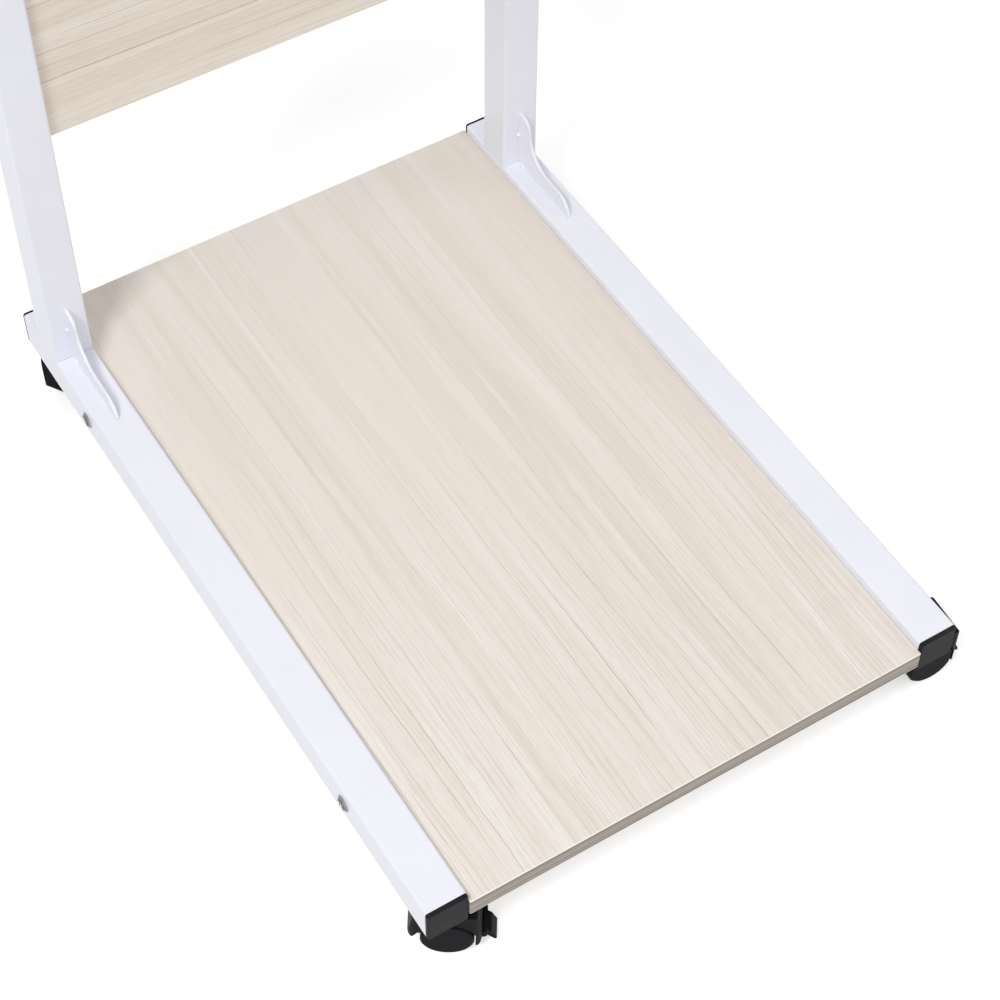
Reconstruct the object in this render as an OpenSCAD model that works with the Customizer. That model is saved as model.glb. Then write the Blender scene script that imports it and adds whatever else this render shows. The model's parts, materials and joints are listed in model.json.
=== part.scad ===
// Overbed laptop table: a wheeled base of square steel tube with a shelf board,
// two telescopic uprights at its back, and a top of a fixed board and a tilting board.
// X runs across the table, -Y is the open front, +Z is up. The floor is at Z = 0.

/* [Overall] */
// Width over the outer faces of the two side frames
overall_w = 414; // [360:1:480]
// Length of a base rail without its end plugs
base_len = 580; // [520:1:680]
// Height of the table top above the floor, as it stands
top_h = 870; // [800:1:930]

/* [Tube] */
// Side of the square tube
tube_w = 30; // [28:0.5:34]
// Wall of all the square tube
tube_wall = 1.2; // [0.9:0.1:1.6]
// Outer corner radius of the square tube
tube_r = 2; // [1.8:0.1:3]
// Side of the inner post that slides in the upright
inner_w = 25; // [22:0.5:25.4]
// Running gap round a sliding plastic bush
slide_gap = 0.2; // [0.15:0.05:0.4]

/* [Base board] */
// Thickness of every laminated board
board_t = 16; // [12:1:19]
// How far the shelf board stands past each rail end
board_over = 4; // [0:0.5:8]
// Gap between a board and the tubes beside it
board_gap = 0.1; // [0:0.1:0.5]
// Softened edge of every board
board_edge = 0.6; // [0.3:0.1:1.5]
// Distance of a shelf screw from the end of its rail
board_screw_in = 103; // [75:1:140]

/* [Uprights] */
// Length of an upright above the base rail
upright_h = 462; // [440:1:470]
// Rail left behind the upright
rail_behind = 25; // [18:1:45]
// Length of an inner post
inner_post_len = 460; // [420:1:500]
// Height of the collar flange on an upright
collar_h = 6; // [4:0.5:9]
// How far the collar stands out past the tube
collar_over = 1.8; // [1:0.1:2.5]
// Depth of the collar sleeve and of the foot glide
sleeve_depth = 16; // [10:1:18]
// Distance of the height knob below the top of the upright
knob_drop = 28; // [27:1:45]

/* [Back panel] */
// Height of the back panel
panel_h = 200; // [150:1:210]
// Gap from the base rails up to the back panel
panel_lift = 205; // [160:1:230]
// Width of a welded tab that holds the panel
tab_w = 24; // [20:1:32]
// Height of a welded tab
tab_h = 30; // [22:1:40]
// Distance of a tab's middle from the panel's edge
tab_in = 32; // [25:1:50]

/* [Gussets] */
// Length of a gusset along the rail
gusset_len = 72; // [66:1:90]
// Height of a gusset along the post
gusset_h = 50; // [46:1:60]
// Depth of a gusset where it leaves the post
gusset_web = 14; // [12:0.5:18]
// Height of a gusset along its rail
gusset_heel = 13; // [11:0.5:16]
// Radius of the hollow edge of a gusset
gusset_fillet = 26; // [20:1:32]
// Thickness of all plate: gussets, tabs and tilt quadrants
plate_t = 2.5; // [2:0.1:3]

/* [End plugs] */
// Thickness of a plug's visible cap
plug_t = 3; // [2.5:0.1:5]
// Bevel round the cap
plug_bevel = 1.2; // [1:0.1:2.2]
// Depth of the plug inside its tube
plug_depth = 12; // [8:1:15]

/* [Top] */
// Length of the whole top
top_len = 610; // [560:1:660]
// Length of the fixed board at the back
fixed_len = 200; // [170:1:240]
// Distance of the fixed board's front screws from its front edge
fixed_screw_in = 26; // [20:1:60]
// Gap between the fixed board and the tilting board
split_gap = 3; // [2:0.5:6]
// Radius of the top's outer corners
corner_r = 20; // [8:1:40]
// How far the arms end before the front end of the top
arm_in = 15; // [4:1:40]
// How far the top stands past the back of the arms
top_over = 15; // [4:1:20]
// Distance of the front cross bar's middle from the front of the arms
front_bar_in = 35; // [32:1:60]
// Length of the stop that keeps a laptop on the tilting board
stop_len = 300; // [180:1:340]
// Width of the stop
stop_w = 12; // [11:0.5:16]
// Height of the stop
stop_h = 9; // [8:0.5:14]
// Distance of the stop's middle from the hinged edge
stop_in = 14; // [10:1:30]

/* [Tilt] */
// Largest tilt of the board, in degrees
tilt_max = 35; // [20:1:40]
// Radius of the quadrant's slot about the hinge
quadrant_r = 110; // [95:1:130]
// Width of the quadrant's arc
quadrant_w = 18; // [15:0.5:22]
// Diameter of the clamp bolts
bolt_d = 6; // [5:0.5:6]
// Length of a hinge
hinge_len = 60; // [48:1:80]
// Distance of a hinge's middle from the end of the tilting board
hinge_in = 70; // [45:1:110]
// Outer radius of a hinge barrel
barrel_r = 3.5; // [3:0.1:4.5]
// Diameter of a hinge pin
hinge_pin_d = 4; // [3:0.1:4]
// Thickness of a hinge leaf
leaf_t = 1.5; // [1:0.1:2]

/* [Knobs] */
// Diameter of a height knob over its lobes
knob_d = 42; // [34:1:44]
// Diameter of a tilt knob over its lobes
tilt_knob_d = 26; // [20:1:27]
// Diameter of the threaded studs and caster stems
stud_d = 8; // [7:0.5:8]

/* [Casters] */
// Height from the floor to the base rails
caster_h = 48; // [47:0.5:56]
// Diameter of a caster wheel
wheel_d = 35; // [32:0.5:36]
// Width of one of the two wheels
wheel_w = 12; // [10:0.5:13]
// Width of a caster over both wheels
caster_w = 34; // [33.5:0.5:40]
// Distance of the axle behind the stem
trail = 14.5; // [12:0.5:16]
// Distance of a caster stem from the end of its rail
caster_in = 27; // [24:1:40]
// Diameter of the pin that the caster turns on
swivel_pin_d = 6; // [5:0.1:6]
// Diameter of a caster axle
axle_d = 4; // [3:0.1:5]
// Where the front left caster points, in degrees from +X
front_left_turn = -33; // [-180:1:180]
// Where the front right caster points
front_right_turn = -4; // [-180:1:180]
// Where the rear left caster points
rear_left_turn = 33; // [-180:1:180]
// Where the rear right caster points
rear_right_turn = 48; // [-180:1:180]

/* [Hidden] */

$fn = 48;
hull_fn = 32;

// Gap between parts that turn or slide past each other
run_gap = 0.3;
// Radial clearance of a pin in its bore
pin_gap = 0.05;
// Overshoot of a cutting shape
cut = 1;

// Side frames
rail_x = (overall_w - tube_w) / 2;
inside_w = overall_w - 2 * tube_w;
rail_z = caster_h + tube_w / 2;
rail_top = caster_h + tube_w;
base_back = base_len / 2;
upright_y = base_back - rail_behind - tube_w / 2;
upright_top = rail_top + upright_h;
bore_w = tube_w - 2 * tube_wall;
bore_r = tube_r - tube_wall;
collar_hole = inner_w + 2 * slide_gap;
knob_z = upright_top - knob_drop;

// Top frame
seam_z = top_h - board_t;
arm_z = seam_z - tube_w / 2;
arm_under = seam_z - tube_w;
arm_back = upright_y + tube_w / 2 + rail_behind;
top_back = arm_back + top_over;
top_front = top_back - top_len;
arm_front = top_front + arm_in;
arm_len = arm_back - arm_front;
arm_mid = (arm_back + arm_front) / 2;
fixed_front = top_back - fixed_len;
tilt_back = fixed_front - split_gap;
tilt_len = tilt_back - top_front;
front_bar_y = arm_front + front_bar_in;
middle_bar_y = (fixed_front + tilt_back) / 2;
bars = [[front_bar_y, 1], [middle_bar_y, -1]];

// Screws: head diameter, head height, shank diameter, length
rail_screw = [13, 3, 6, tube_w + 20];
small_screw = [8.5, 2.4, 4, 12];
arm_screw = [9, 2.6, 4.5, tube_w + board_t * 0.7];
flat_screw = [7, 2.2, 3.5, 12];

// Weld nuts
nut_flats = 1.625 * stud_d;
nut_h = 0.8 * stud_d;

// Tilt hinge
hinge_x = -(overall_w / 2 + barrel_r + run_gap);
hinge_ys = [top_front + hinge_in, tilt_back - hinge_in];
leaf_frame_h = 24;
leaf_screw_z = seam_z + board_t * 0.62;
leaf_screw_y = hinge_len * 0.3;
bolt_turn = -asin(tube_w / 2 / quadrant_r);
slot_w = bolt_d + 2 * run_gap;
flange_w = 24;
flange_len = 46;
bolt_head_d = 2.3 * bolt_d;
bolt_head_h = 0.55 * bolt_d;

// Knobs
knob_stem_d = 16;
knob_stem_l = 7;
knob_head_l = 20;
tilt_stem_d = 12;
tilt_stem_l = 6;
tilt_head_l = 16;
lobes = 5;

// Casters, about the stem with the underside of the rail at Z = 0
wheel_r = wheel_d / 2;
axle_z = wheel_r - caster_h;
web_w = caster_w - 2 * (wheel_w + run_gap);
hood_gap = 1.6;
hood_wall = 3.2;
hood_r = wheel_r + hood_gap + hood_wall;
hood_w = caster_w - 1;
hood_ends = [150, -18];
hood_flare = 3.3;
hood_foot_r = 1.9;
shoulder_d = 15;
shoulder_h = 1.5;
hood_top = -(shoulder_h + run_gap);
swivel_pin_l = 22;
crown_front = trail - hood_r;
crown_back = trail + hood_r - 2;
hood_foot = [crown_front - hood_flare + hood_foot_r, axle_z + 4.2];
lever_w = 14;
lever_pin_r = 1.2;
lever_r = 2.4;
lever_x = trail + hood_r + 0.2;
lever_z = axle_z - 3.5;
lever_ear_r = 3.2;
lever_ear_t = 3;
caster_y = base_back - caster_in;
casters = [
    [[-rail_x, -caster_y], front_left_turn],
    [[rail_x, -caster_y], front_right_turn],
    [[-rail_x, caster_y], rear_left_turn],
    [[rail_x, caster_y], rear_right_turn]
];

// Colours
white_steel = [0.93, 0.94, 0.97];
oak = [0.88, 0.83, 0.77];
black = [0.13, 0.13, 0.14];
zinc = [0.72, 0.73, 0.75];

// Rectangle with round corners, about the origin
module round_rect(w, h, r) {
    square([w - 2 * r, h], center = true);
    square([w, h - 2 * r], center = true);
    for (sx = [-1, 1], sy = [-1, 1])
        translate([sx * (w / 2 - r), sy * (h / 2 - r)]) circle(r);
}

// Section of a square tube
module tube_section(w, r) {
    difference() {
        round_rect(w, w, r);
        round_rect(w - 2 * tube_wall, w - 2 * tube_wall, r - tube_wall);
    }
}

// A flat shape in X and Z, given a length along Y about Y = 0
module along_y(length) {
    rotate([90, 0, 0]) translate([0, 0, -length / 2]) linear_extrude(length) children();
}

// A flat shape in Y and Z, given a length along X about X = 0
module along_x(length) {
    rotate([90, 0, 90]) translate([0, 0, -length / 2]) linear_extrude(length) children();
}

// Square tube along Y, about the origin
module tube_y(length) {
    along_y(length) tube_section(tube_w, tube_r);
}

// Laminated board lying flat, with its lower face at Z = 0 and one corner radius for each end
module flat_board(w, y0, y1, r_front, r_back) {
    hull() {
        for (sx = [-1, 1], corner = [[y0, r_front, 1], [y1, r_back, -1]])
            translate([sx * (w / 2 - corner[1]), corner[0] + corner[2] * corner[1], 0]) {
                translate([0, 0, board_edge])
                    cylinder(r = corner[1], h = board_t - 2 * board_edge, $fn = hull_fn);
                cylinder(r = corner[1] - board_edge, h = board_t, $fn = hull_fn);
            }
    }
}

// Low domed screw along Z, seated at Z = 0 with its head above
module dome_screw(size) {
    dome_r = (pow(size[1], 2) + pow(size[0] / 2, 2)) / (2 * size[1]);
    recess = size[0] * 0.5;
    difference() {
        intersection() {
            translate([0, 0, size[1] - dome_r]) sphere(dome_r);
            cylinder(d = size[0], h = size[1]);
        }
        for (turn = [0, 90])
            rotate(turn) translate([-recess / 2, -recess / 9, size[1] * 0.45])
                cube([recess, recess / 4.5, size[1]]);
    }
    screw_shank(size);
}

// Shank with a pointed end, below Z = 0
module screw_shank(size) {
    point = size[2] * 0.6;
    translate([0, 0, point - size[3]]) cylinder(d = size[2], h = size[3] - point);
    translate([0, 0, -size[3]]) cylinder(d1 = size[2] * 0.35, d2 = size[2], h = point);
}

// Countersunk screw, with its flat head's top at Z = 0
module flat_head_screw(size) {
    difference() {
        translate([0, 0, -size[1]]) cylinder(d1 = size[2], d2 = size[0], h = size[1]);
        for (turn = [0, 90])
            rotate(turn) translate([-size[0] * 0.25, -size[0] * 0.06, -size[1] * 0.5])
                cube([size[0] * 0.5, size[0] * 0.12, size[1]]);
    }
    translate([0, 0, -size[1]]) screw_shank([size[0], size[1], size[2], size[3] - size[1]]);
}

// Hole for a screw's shank, from its seat down
module shank_hole(size, extra) {
    translate([0, 0, -size[3] - extra]) cylinder(d = size[2] + 2 * pin_gap, h = size[3] + extra + cut);
}

// Base rail: tube with two shelf screw holes and two caster stem holes
module base_rail(side) {
    color(white_steel)
    translate([side * rail_x, 0, 0]) difference() {
        translate([0, 0, rail_z]) tube_y(base_len);
        for (end = [-1, 1]) {
            translate([side * tube_w / 2, end * (base_back - board_screw_in), rail_z])
                rotate([0, side * 90, 0]) shank_hole(rail_screw, 0);
            translate([0, end * caster_y, caster_h - cut])
                cylinder(d = stud_d + 2 * pin_gap, h = tube_wall + 2 * cut);
        }
    }
}

// Upright: tube that stands on the rail, open at the top, with the stud's hole outside
module upright(side) {
    color(white_steel)
    translate([side * rail_x, upright_y, 0]) difference() {
        translate([0, 0, rail_top]) linear_extrude(upright_h) tube_section(tube_w, tube_r);
        translate([side * tube_w / 2, 0, knob_z]) rotate([0, 90, 0])
            cylinder(d = stud_d + 2 * pin_gap, h = 4 * tube_wall, center = true);
    }
}

// Outline of a gusset: X away from the post, Y away from the rail
module gusset_outline() {
    tip_r = gusset_heel + 5;
    top_r = gusset_web - 3;
    intersection() {
        square([gusset_len, gusset_h]);
        union() {
            square([gusset_web, gusset_h - top_r]);
            square([gusset_web - top_r, gusset_h]);
            translate([gusset_web - top_r, gusset_h - top_r]) circle(top_r);
            square([gusset_len - tip_r, gusset_heel]);
            translate([gusset_len - tip_r, gusset_heel - tip_r]) circle(tip_r);
            difference() {
                square([gusset_web + gusset_fillet, gusset_heel + gusset_fillet]);
                translate([gusset_web + gusset_fillet, gusset_heel + gusset_fillet]) circle(gusset_fillet);
            }
        }
    }
}

module foot_gusset(side) {
    color(white_steel)
    translate([side * rail_x, upright_y - tube_w / 2, rail_top])
        along_x(plate_t) mirror([1, 0]) gusset_outline();
}

module arm_gussets() {
    color(white_steel)
    for (side = [-1, 1])
        translate([side * rail_x, upright_y - inner_w / 2, arm_under])
            along_x(plate_t) mirror([1, 0]) mirror([0, 1]) gusset_outline();
}

// Shelf board between the rails, with pilot holes for its screws
module base_board() {
    color(oak)
    difference() {
        translate([0, 0, rail_z - board_t / 2])
            flat_board(inside_w - 2 * board_gap, -base_back - board_over, base_back + board_over, 1, 1);
        base_screw_places() shank_hole(rail_screw, 0.5);
    }
}

module base_screw_places() {
    for (side = [-1, 1], end = [-1, 1])
        translate([side * overall_w / 2, end * (base_back - board_screw_in), rail_z])
            rotate([0, side * 90, 0]) children();
}

module base_board_screws() {
    color(zinc)
    base_screw_places() dome_screw(rail_screw);
}

// Back panel between the uprights, standing on edge
module back_panel() {
    color(oak)
    difference() {
        translate([0, upright_y + board_t / 2, rail_top + panel_lift]) rotate([90, 0, 0])
            flat_board(inside_w - 2 * board_gap, 0, panel_h, 1, 1);
        tab_places() shank_hole(small_screw, 0.5);
    }
}

// Middle of each tab's back face, with +Z towards the back of the table
module tab_places() {
    for (side = [-1, 1], up = [tab_in, panel_h - tab_in])
        translate([side * (inside_w - tab_w) / 2, upright_y + board_t / 2 + plate_t,
                   rail_top + panel_lift + up])
            rotate([-90, 0, 0]) children();
}

module panel_tabs() {
    color(white_steel)
    tab_places() difference() {
        translate([0, 0, -plate_t]) linear_extrude(plate_t) round_rect(tab_w, tab_h, 1);
        shank_hole(small_screw, 0);
    }
}

module panel_screws() {
    color(zinc)
    tab_places() dome_screw(small_screw);
}

// End plug: a bevelled cap over the tube's end and a hollow ribbed stub inside it
module end_plug() {
    stub_w = bore_w - 2 * pin_gap;
    hull() {
        linear_extrude(plug_t - plug_bevel) round_rect(tube_w, tube_w, tube_r, $fn = hull_fn);
        linear_extrude(plug_t)
            round_rect(tube_w - 2 * plug_bevel, tube_w - 2 * plug_bevel, 1, $fn = hull_fn);
    }
    translate([0, 0, -plug_depth]) linear_extrude(plug_depth) {
        difference() {
            round_rect(stub_w, stub_w, bore_r);
            round_rect(stub_w - 3, stub_w - 3, bore_r);
        }
        square([stub_w - 2, 1.5], center = true);
        square([1.5, stub_w - 2], center = true);
    }
}

// A plug at both ends of both tubes of a side frame
module end_plugs(front, back, z) {
    color(black)
    for (side = [-1, 1]) {
        translate([side * rail_x, front, z]) rotate([90, 0, 0]) end_plug();
        translate([side * rail_x, back, z]) rotate([-90, 0, 0]) end_plug();
    }
}

// Collar on each upright: flange, softened lip and a sleeve that guides the inner post
module upright_collars() {
    flange_w = tube_w + 2 * collar_over;
    sleeve_w = bore_w - 2 * pin_gap;
    color(black)
    for (side = [-1, 1])
        translate([side * rail_x, upright_y, upright_top]) difference() {
            union() {
                linear_extrude(collar_h - 1.5) round_rect(flange_w, flange_w, tube_r + 1);
                linear_extrude(collar_h) round_rect(flange_w - 3, flange_w - 3, tube_r);
                translate([0, 0, -sleeve_depth]) linear_extrude(sleeve_depth)
                    round_rect(sleeve_w, sleeve_w, bore_r);
            }
            translate([0, 0, -sleeve_depth - cut]) linear_extrude(sleeve_depth + collar_h + 2 * cut)
                round_rect(collar_hole, collar_hole, tube_r);
        }
}

// Hexagon nut standing on Z = 0
module weld_nut() {
    difference() {
        cylinder(d = nut_flats / cos(30), h = nut_h, $fn = 6);
        translate([0, 0, -cut]) cylinder(d = stud_d + 2 * pin_gap, h = nut_h + 2 * cut);
    }
}

// Nuts for the height knobs, outside the uprights, and for the casters, inside the rails
module weld_nuts() {
    color(white_steel)
    for (side = [-1, 1]) {
        translate([side * overall_w / 2, upright_y, knob_z]) rotate([0, side * 90, 0]) weld_nut();
        for (end = [-1, 1])
            translate([side * rail_x, end * caster_y, caster_h + tube_wall]) weld_nut();
    }
}

// Caster stem: threaded end in its nut, shoulder under the rail and a plain pin below
module caster_stems() {
    shoulder_chamfer = 0.5;
    color(zinc)
    for (c = casters)
        translate([c[0][0], c[0][1], caster_h]) {
            cylinder(d = stud_d, h = tube_wall + nut_h + 1);
            translate([0, 0, -shoulder_h]) cylinder(d = shoulder_d, h = shoulder_h);
            translate([0, 0, -swivel_pin_l]) cylinder(d = swivel_pin_d, h = swivel_pin_l);
            translate([0, 0, -swivel_pin_l - shoulder_chamfer])
                cylinder(d1 = swivel_pin_d - 2 * shoulder_chamfer, d2 = swivel_pin_d, h = shoulder_chamfer);
        }
}

// Inner post, welded under its arm and sliding in its upright
module inner_post(side) {
    color(white_steel)
    translate([side * rail_x, upright_y, arm_under - inner_post_len])
        linear_extrude(inner_post_len) tube_section(inner_w, tube_r);
}

// Glide in the foot of each inner post
module inner_post_glides() {
    glide_w = bore_w - 2 * slide_gap;
    stub_w = inner_w - 2 * (tube_wall + pin_gap);
    color(black)
    for (side = [-1, 1])
        translate([side * rail_x, upright_y, arm_under - inner_post_len]) difference() {
            union() {
                translate([0, 0, -4]) linear_extrude(4) round_rect(glide_w, glide_w, bore_r + slide_gap);
                linear_extrude(sleeve_depth) round_rect(stub_w, stub_w, bore_r);
            }
            translate([0, 0, 1]) linear_extrude(sleeve_depth) round_rect(stub_w - 4, stub_w - 4, 1);
        }
}

// Upper arm, with holes for the screws that hold the fixed board
module arm(side) {
    color(white_steel)
    difference() {
        translate([side * rail_x, arm_mid, arm_z]) tube_y(arm_len);
        fixed_screw_places() shank_hole(arm_screw, 0);
    }
}

// Seats of the fixed board's screws, under the arms, with +Z pointing down
module fixed_screw_places() {
    for (side = [-1, 1], y = [fixed_front + fixed_screw_in, arm_back - plug_depth - arm_screw[0]])
        translate([side * rail_x, y, arm_under]) rotate([180, 0, 0]) children();
}

module fixed_board_screws() {
    color(zinc)
    fixed_screw_places() dome_screw(arm_screw);
}

// Cross bar between the arms, with the clamp bolt's hole
module cross_bar(bar) {
    color(white_steel)
    difference() {
        translate([0, bar[0], arm_z]) along_x(inside_w) tube_section(tube_w, tube_r);
        bolt_place(bar) cylinder(d = bolt_d + 2 * pin_gap, h = 2 * tube_w, center = true);
    }
}

// Where a clamp bolt crosses its bar, with +Z towards the quadrant
module bolt_place(bar) {
    translate([hinge_x + quadrant_r * cos(bolt_turn), bar[0], arm_z])
        rotate([-90 * bar[1], 0, 0]) children();
}

module fixed_board() {
    color(oak)
    difference() {
        translate([0, 0, seam_z]) flat_board(overall_w, fixed_front, top_back, 1, corner_r);
        fixed_screw_places() shank_hole(arm_screw, 0.5);
    }
}

module tilt_board() {
    color(oak)
    difference() {
        translate([0, 0, seam_z]) flat_board(overall_w, top_front, tilt_back, corner_r, 1);
        tilt_screw_places() sunk_hole(0.5);
    }
}

// Seats of all the small screws in the tilting board, with +Z out of the screw's head
module tilt_screw_places() {
    leaf_screw_places() children();
    stop_screw_places() children();
    for (bar = bars)
        flange_screw_places(bar) children();
}

module leaf_screw_places() {
    for (y = hinge_ys, s = [-1, 1])
        translate([-overall_w / 2 - leaf_t, y + s * leaf_screw_y, leaf_screw_z])
            rotate([0, -90, 0]) children();
}

module stop_screw_places() {
    for (k = [-1, 0, 1])
        translate([stop_in - overall_w / 2, (top_front + tilt_back) / 2 + k * stop_len * 0.42,
                   top_h + stop_h / 2])
            children();
}

module flange_screw_places(bar) {
    for (s = [-1, 1])
        translate([hinge_x + quadrant_r - quadrant_w / 2 + s * flange_len * 0.3,
                   bar[0] + bar[1] * (tube_w / 2 + run_gap + plate_t + flange_w * 0.5), seam_z - plate_t])
            rotate([180, 0, 0]) children();
}

module tilt_board_screws() {
    color(zinc)
    tilt_screw_places() flat_head_screw(flat_screw);
}

// Countersunk hole for a flat screw, from its head's top down
module sunk_hole(extra) {
    translate([0, 0, -flat_screw[1]])
        cylinder(d1 = flat_screw[2] + 2 * pin_gap, d2 = flat_screw[0] + 2 * pin_gap, h = flat_screw[1]);
    cylinder(d = flat_screw[0] + 2 * pin_gap, h = stop_h);
    shank_hole(flat_screw, extra);
}

// Knuckles along the hinge axis: from and to are fractions of the hinge's length
module knuckle(y, from, to) {
    length = hinge_len * (to - from) - run_gap;
    translate([hinge_x, y + hinge_len * ((from + to) / 2 - 0.5), seam_z]) rotate([90, 0, 0])
        cylinder(r = barrel_r, h = length, center = true);
}

// Strip of a leaf from the board side's face out to the barrel
module leaf_plate(y, length, z0, z1) {
    translate([-overall_w / 2 - leaf_t, y - length / 2, z0]) cube([leaf_t, length, z1 - z0]);
}

module knuckle_bore(y) {
    translate([hinge_x, y, seam_z]) rotate([90, 0, 0])
        cylinder(d = hinge_pin_d + 2 * pin_gap, h = hinge_len + 2 * cut, center = true);
}

module hinge_frame_leaves() {
    third = hinge_len / 3;
    color(zinc)
    for (y = hinge_ys)
        difference() {
            union() {
                leaf_plate(y, hinge_len, seam_z - leaf_frame_h, seam_z - barrel_r - 0.5);
                for (s = [-1, 1])
                    leaf_plate(y + s * third, third - run_gap, seam_z - barrel_r - 1, seam_z);
                knuckle(y, 0, 1 / 3);
                knuckle(y, 2 / 3, 1);
            }
            knuckle_bore(y);
        }
}

module hinge_board_leaves() {
    third = hinge_len / 3;
    color(zinc)
    difference() {
        for (y = hinge_ys)
            difference() {
                union() {
                    leaf_plate(y, hinge_len, seam_z + barrel_r + 0.5, top_h - 1);
                    leaf_plate(y, third - run_gap, seam_z, seam_z + barrel_r + 1);
                    knuckle(y, 1 / 3, 2 / 3);
                }
                knuckle_bore(y);
            }
        leaf_screw_places() sunk_hole(0);
    }
}

module hinge_pins() {
    rivet_h = 0.9;
    color(zinc)
    for (y = hinge_ys)
        translate([hinge_x, y, seam_z]) rotate([90, 0, 0]) {
            cylinder(d = hinge_pin_d, h = hinge_len, center = true);
            for (s = [-1, 1])
                translate([0, 0, s * (hinge_len + rivet_h) / 2])
                    cylinder(d = 1.4 * hinge_pin_d, h = rivet_h, center = true);
        }
}

// Stop at the low edge of the tilting board: a long ridge with round ends on a wider foot
module book_stop() {
    foot_h = stop_h * 0.55;
    color(black)
    difference() {
        translate([stop_in - overall_w / 2, (top_front + tilt_back) / 2, top_h]) {
            linear_extrude(foot_h) round_rect(stop_w, stop_len, stop_w / 2 - 0.1);
            linear_extrude(stop_h)
                round_rect(stop_w - 2.4, stop_len - 2.4, stop_w / 2 - 1.3);
        }
        stop_screw_places() sunk_hole(0);
    }
}

// Slotted arc about the hinge, in X and Z, with the bolt at its upper end at rest
module quadrant_outline() {
    inner_r = quadrant_r - quadrant_w / 2;
    outer_r = quadrant_r + quadrant_w / 2;
    low = bolt_turn - tilt_max;
    reach = 2 * outer_r;
    difference() {
        union() {
            intersection() {
                difference() {
                    circle(outer_r, $fn = 96);
                    circle(inner_r, $fn = 96);
                }
                polygon([[0, 0], [reach, 0], [reach, reach * sin(low)],
                         [reach * cos(low), reach * sin(low)]]);
            }
            rotate(low) translate([quadrant_r, 0]) circle(quadrant_w / 2);
            translate([quadrant_r - quadrant_w / 2 - flange_len / 2, -tube_w / 2])
                square([flange_len, tube_w / 2]);
        }
        intersection() {
            difference() {
                circle(quadrant_r + slot_w / 2, $fn = 96);
                circle(quadrant_r - slot_w / 2, $fn = 96);
            }
            polygon([[0, 0], reach * [cos(bolt_turn), sin(bolt_turn)], reach * [cos(low), sin(low)]]);
        }
        for (turn = [bolt_turn, low])
            rotate(turn) translate([quadrant_r, 0]) circle(slot_w / 2);
    }
}

// Quadrant: slotted web beside its cross bar and a flange screwed under the tilting board
module quadrant(bar) {
    web_y = bar[0] + bar[1] * (tube_w / 2 + run_gap + plate_t / 2);
    flange_x = hinge_x + quadrant_r - quadrant_w / 2;
    color(white_steel)
    difference() {
        union() {
            translate([hinge_x, web_y, seam_z]) along_y(plate_t) quadrant_outline();
            translate([flange_x, web_y + bar[1] * flange_w / 2, seam_z - plate_t / 2])
                cube([flange_len, flange_w + plate_t, plate_t], center = true);
        }
        flange_screw_places(bar) sunk_hole(0);
    }
}

// Clamp bolts: domed head on the quadrant, shank through the bar and into the knob
module tilt_bolts() {
    head_seat = tube_w / 2 + 2 * run_gap + plate_t;
    shank_l = head_seat + tube_w / 2 + tilt_stem_l + tilt_head_l * 0.6;
    dome_r = (pow(bolt_head_h, 2) + pow(bolt_head_d / 2, 2)) / (2 * bolt_head_h);
    color(zinc)
    for (bar = bars)
        bolt_place(bar) translate([0, 0, head_seat]) {
            translate([0, 0, -shank_l]) cylinder(d = bolt_d, h = shank_l);
            intersection() {
                translate([0, 0, bolt_head_h - dome_r]) sphere(dome_r);
                cylinder(d = bolt_head_d, h = bolt_head_h);
            }
        }
}

// Lobed knob on Z: stem from Z = 0, then a head with finger hollows and a dished end
module star_knob(d, stem_d, stem_l, head_l) {
    hollow_r = d * 0.17;
    crown = 2;
    cylinder(d = stem_d, h = stem_l + cut);
    difference() {
        translate([0, 0, stem_l]) {
            cylinder(d1 = d - 2 * crown, d2 = d, h = crown);
            translate([0, 0, crown]) cylinder(d = d, h = head_l - 2 * crown);
            translate([0, 0, head_l - crown]) cylinder(d1 = d, d2 = d - 2 * crown, h = crown);
        }
        for (k = [0 : lobes - 1])
            rotate(k * 360 / lobes) translate([d * 0.56, 0, stem_l - cut])
                cylinder(r = hollow_r, h = head_l + 2 * cut);
        translate([0, 0, stem_l + head_l - 1]) cylinder(d1 = d * 0.42, d2 = d * 0.5, h = 1 + cut);
    }
}

// Height knob, turned on its stud, clear of the weld nut
module height_knob(side) {
    color(black)
    translate([side * (overall_w / 2 + nut_h + run_gap), upright_y, knob_z]) rotate([0, side * 90, 0])
        difference() {
            star_knob(knob_d, knob_stem_d, knob_stem_l, knob_head_l);
            translate([0, 0, -cut])
                cylinder(d = stud_d + 2 * pin_gap, h = knob_stem_l + knob_head_l * 0.6 + cut + pin_gap);
        }
}

// Stud of a height knob, from inside the knob to just clear of the inner post
module knob_stud(side) {
    tip = rail_x + inner_w / 2 + run_gap;
    end = overall_w / 2 + nut_h + run_gap + knob_stem_l + knob_head_l * 0.6;
    color(zinc)
    translate([side * tip, upright_y, knob_z]) rotate([0, side * 90, 0]) {
        cylinder(d1 = stud_d - 1.6, d2 = stud_d, h = 0.8);
        translate([0, 0, 0.8]) cylinder(d = stud_d, h = end - tip - 0.8);
    }
}

// Knob on the clamp bolt, clear of the cross bar's face
module tilt_knob(bar) {
    color(black)
    bolt_place(bar) rotate([180, 0, 0]) translate([0, 0, tube_w / 2 + run_gap]) difference() {
        star_knob(tilt_knob_d, tilt_stem_d, tilt_stem_l, tilt_head_l);
        translate([0, 0, -cut])
            cylinder(d = bolt_d + 2 * pin_gap, h = tilt_stem_l + tilt_head_l * 0.6 + cut + run_gap);
    }
}

// Places a caster piece: its own X runs from the stem towards the axle
module at_caster(c) {
    translate([c[0][0], c[0][1], caster_h]) rotate(c[1]) children();
}

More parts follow.
